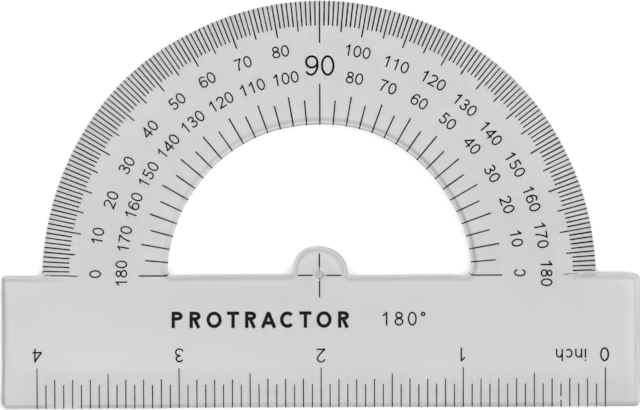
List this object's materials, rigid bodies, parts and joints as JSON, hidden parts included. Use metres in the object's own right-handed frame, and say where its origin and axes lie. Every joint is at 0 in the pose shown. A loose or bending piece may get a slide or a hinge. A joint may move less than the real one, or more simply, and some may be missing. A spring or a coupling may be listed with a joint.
{
  "type": "protractor",
  "caption": "Flat clear half-circle protractor on a bevelled ruler base, with a D-shaped opening, a centre tab, a degree scale and an inch scale printed on its underside.",
  "frame": {"origin": "the centre of the printed cross, on the flat underside of the moulding", "axes": "+X to the right along the ruler, +Y up the face from the ruler to the arc, +Z out of the printed-through face, away from the table"},
  "size_m": [0.1143, 0.073, 0.0018],
  "materials": {
    "clear_plastic": "clear moulded plastic, gloss, faintly grey, with fine handling scratches",
    "black_ink": "black screen ink, satin, thin and slightly uneven"
  },
  "bodies": {
    "root": {"clear_body": "clear_plastic", "outer_degree_ticks": "black_ink", "inner_degree_ticks": "black_ink", "outer_degree_numerals": "black_ink", "inner_degree_numerals": "black_ink", "ninety_degree_numeral": "black_ink", "centre_cross": "black_ink", "inch_ticks": "black_ink", "inch_numerals": "black_ink", "inch_unit_word": "black_ink", "face_label": "black_ink"}
  },
  "joints": []
}
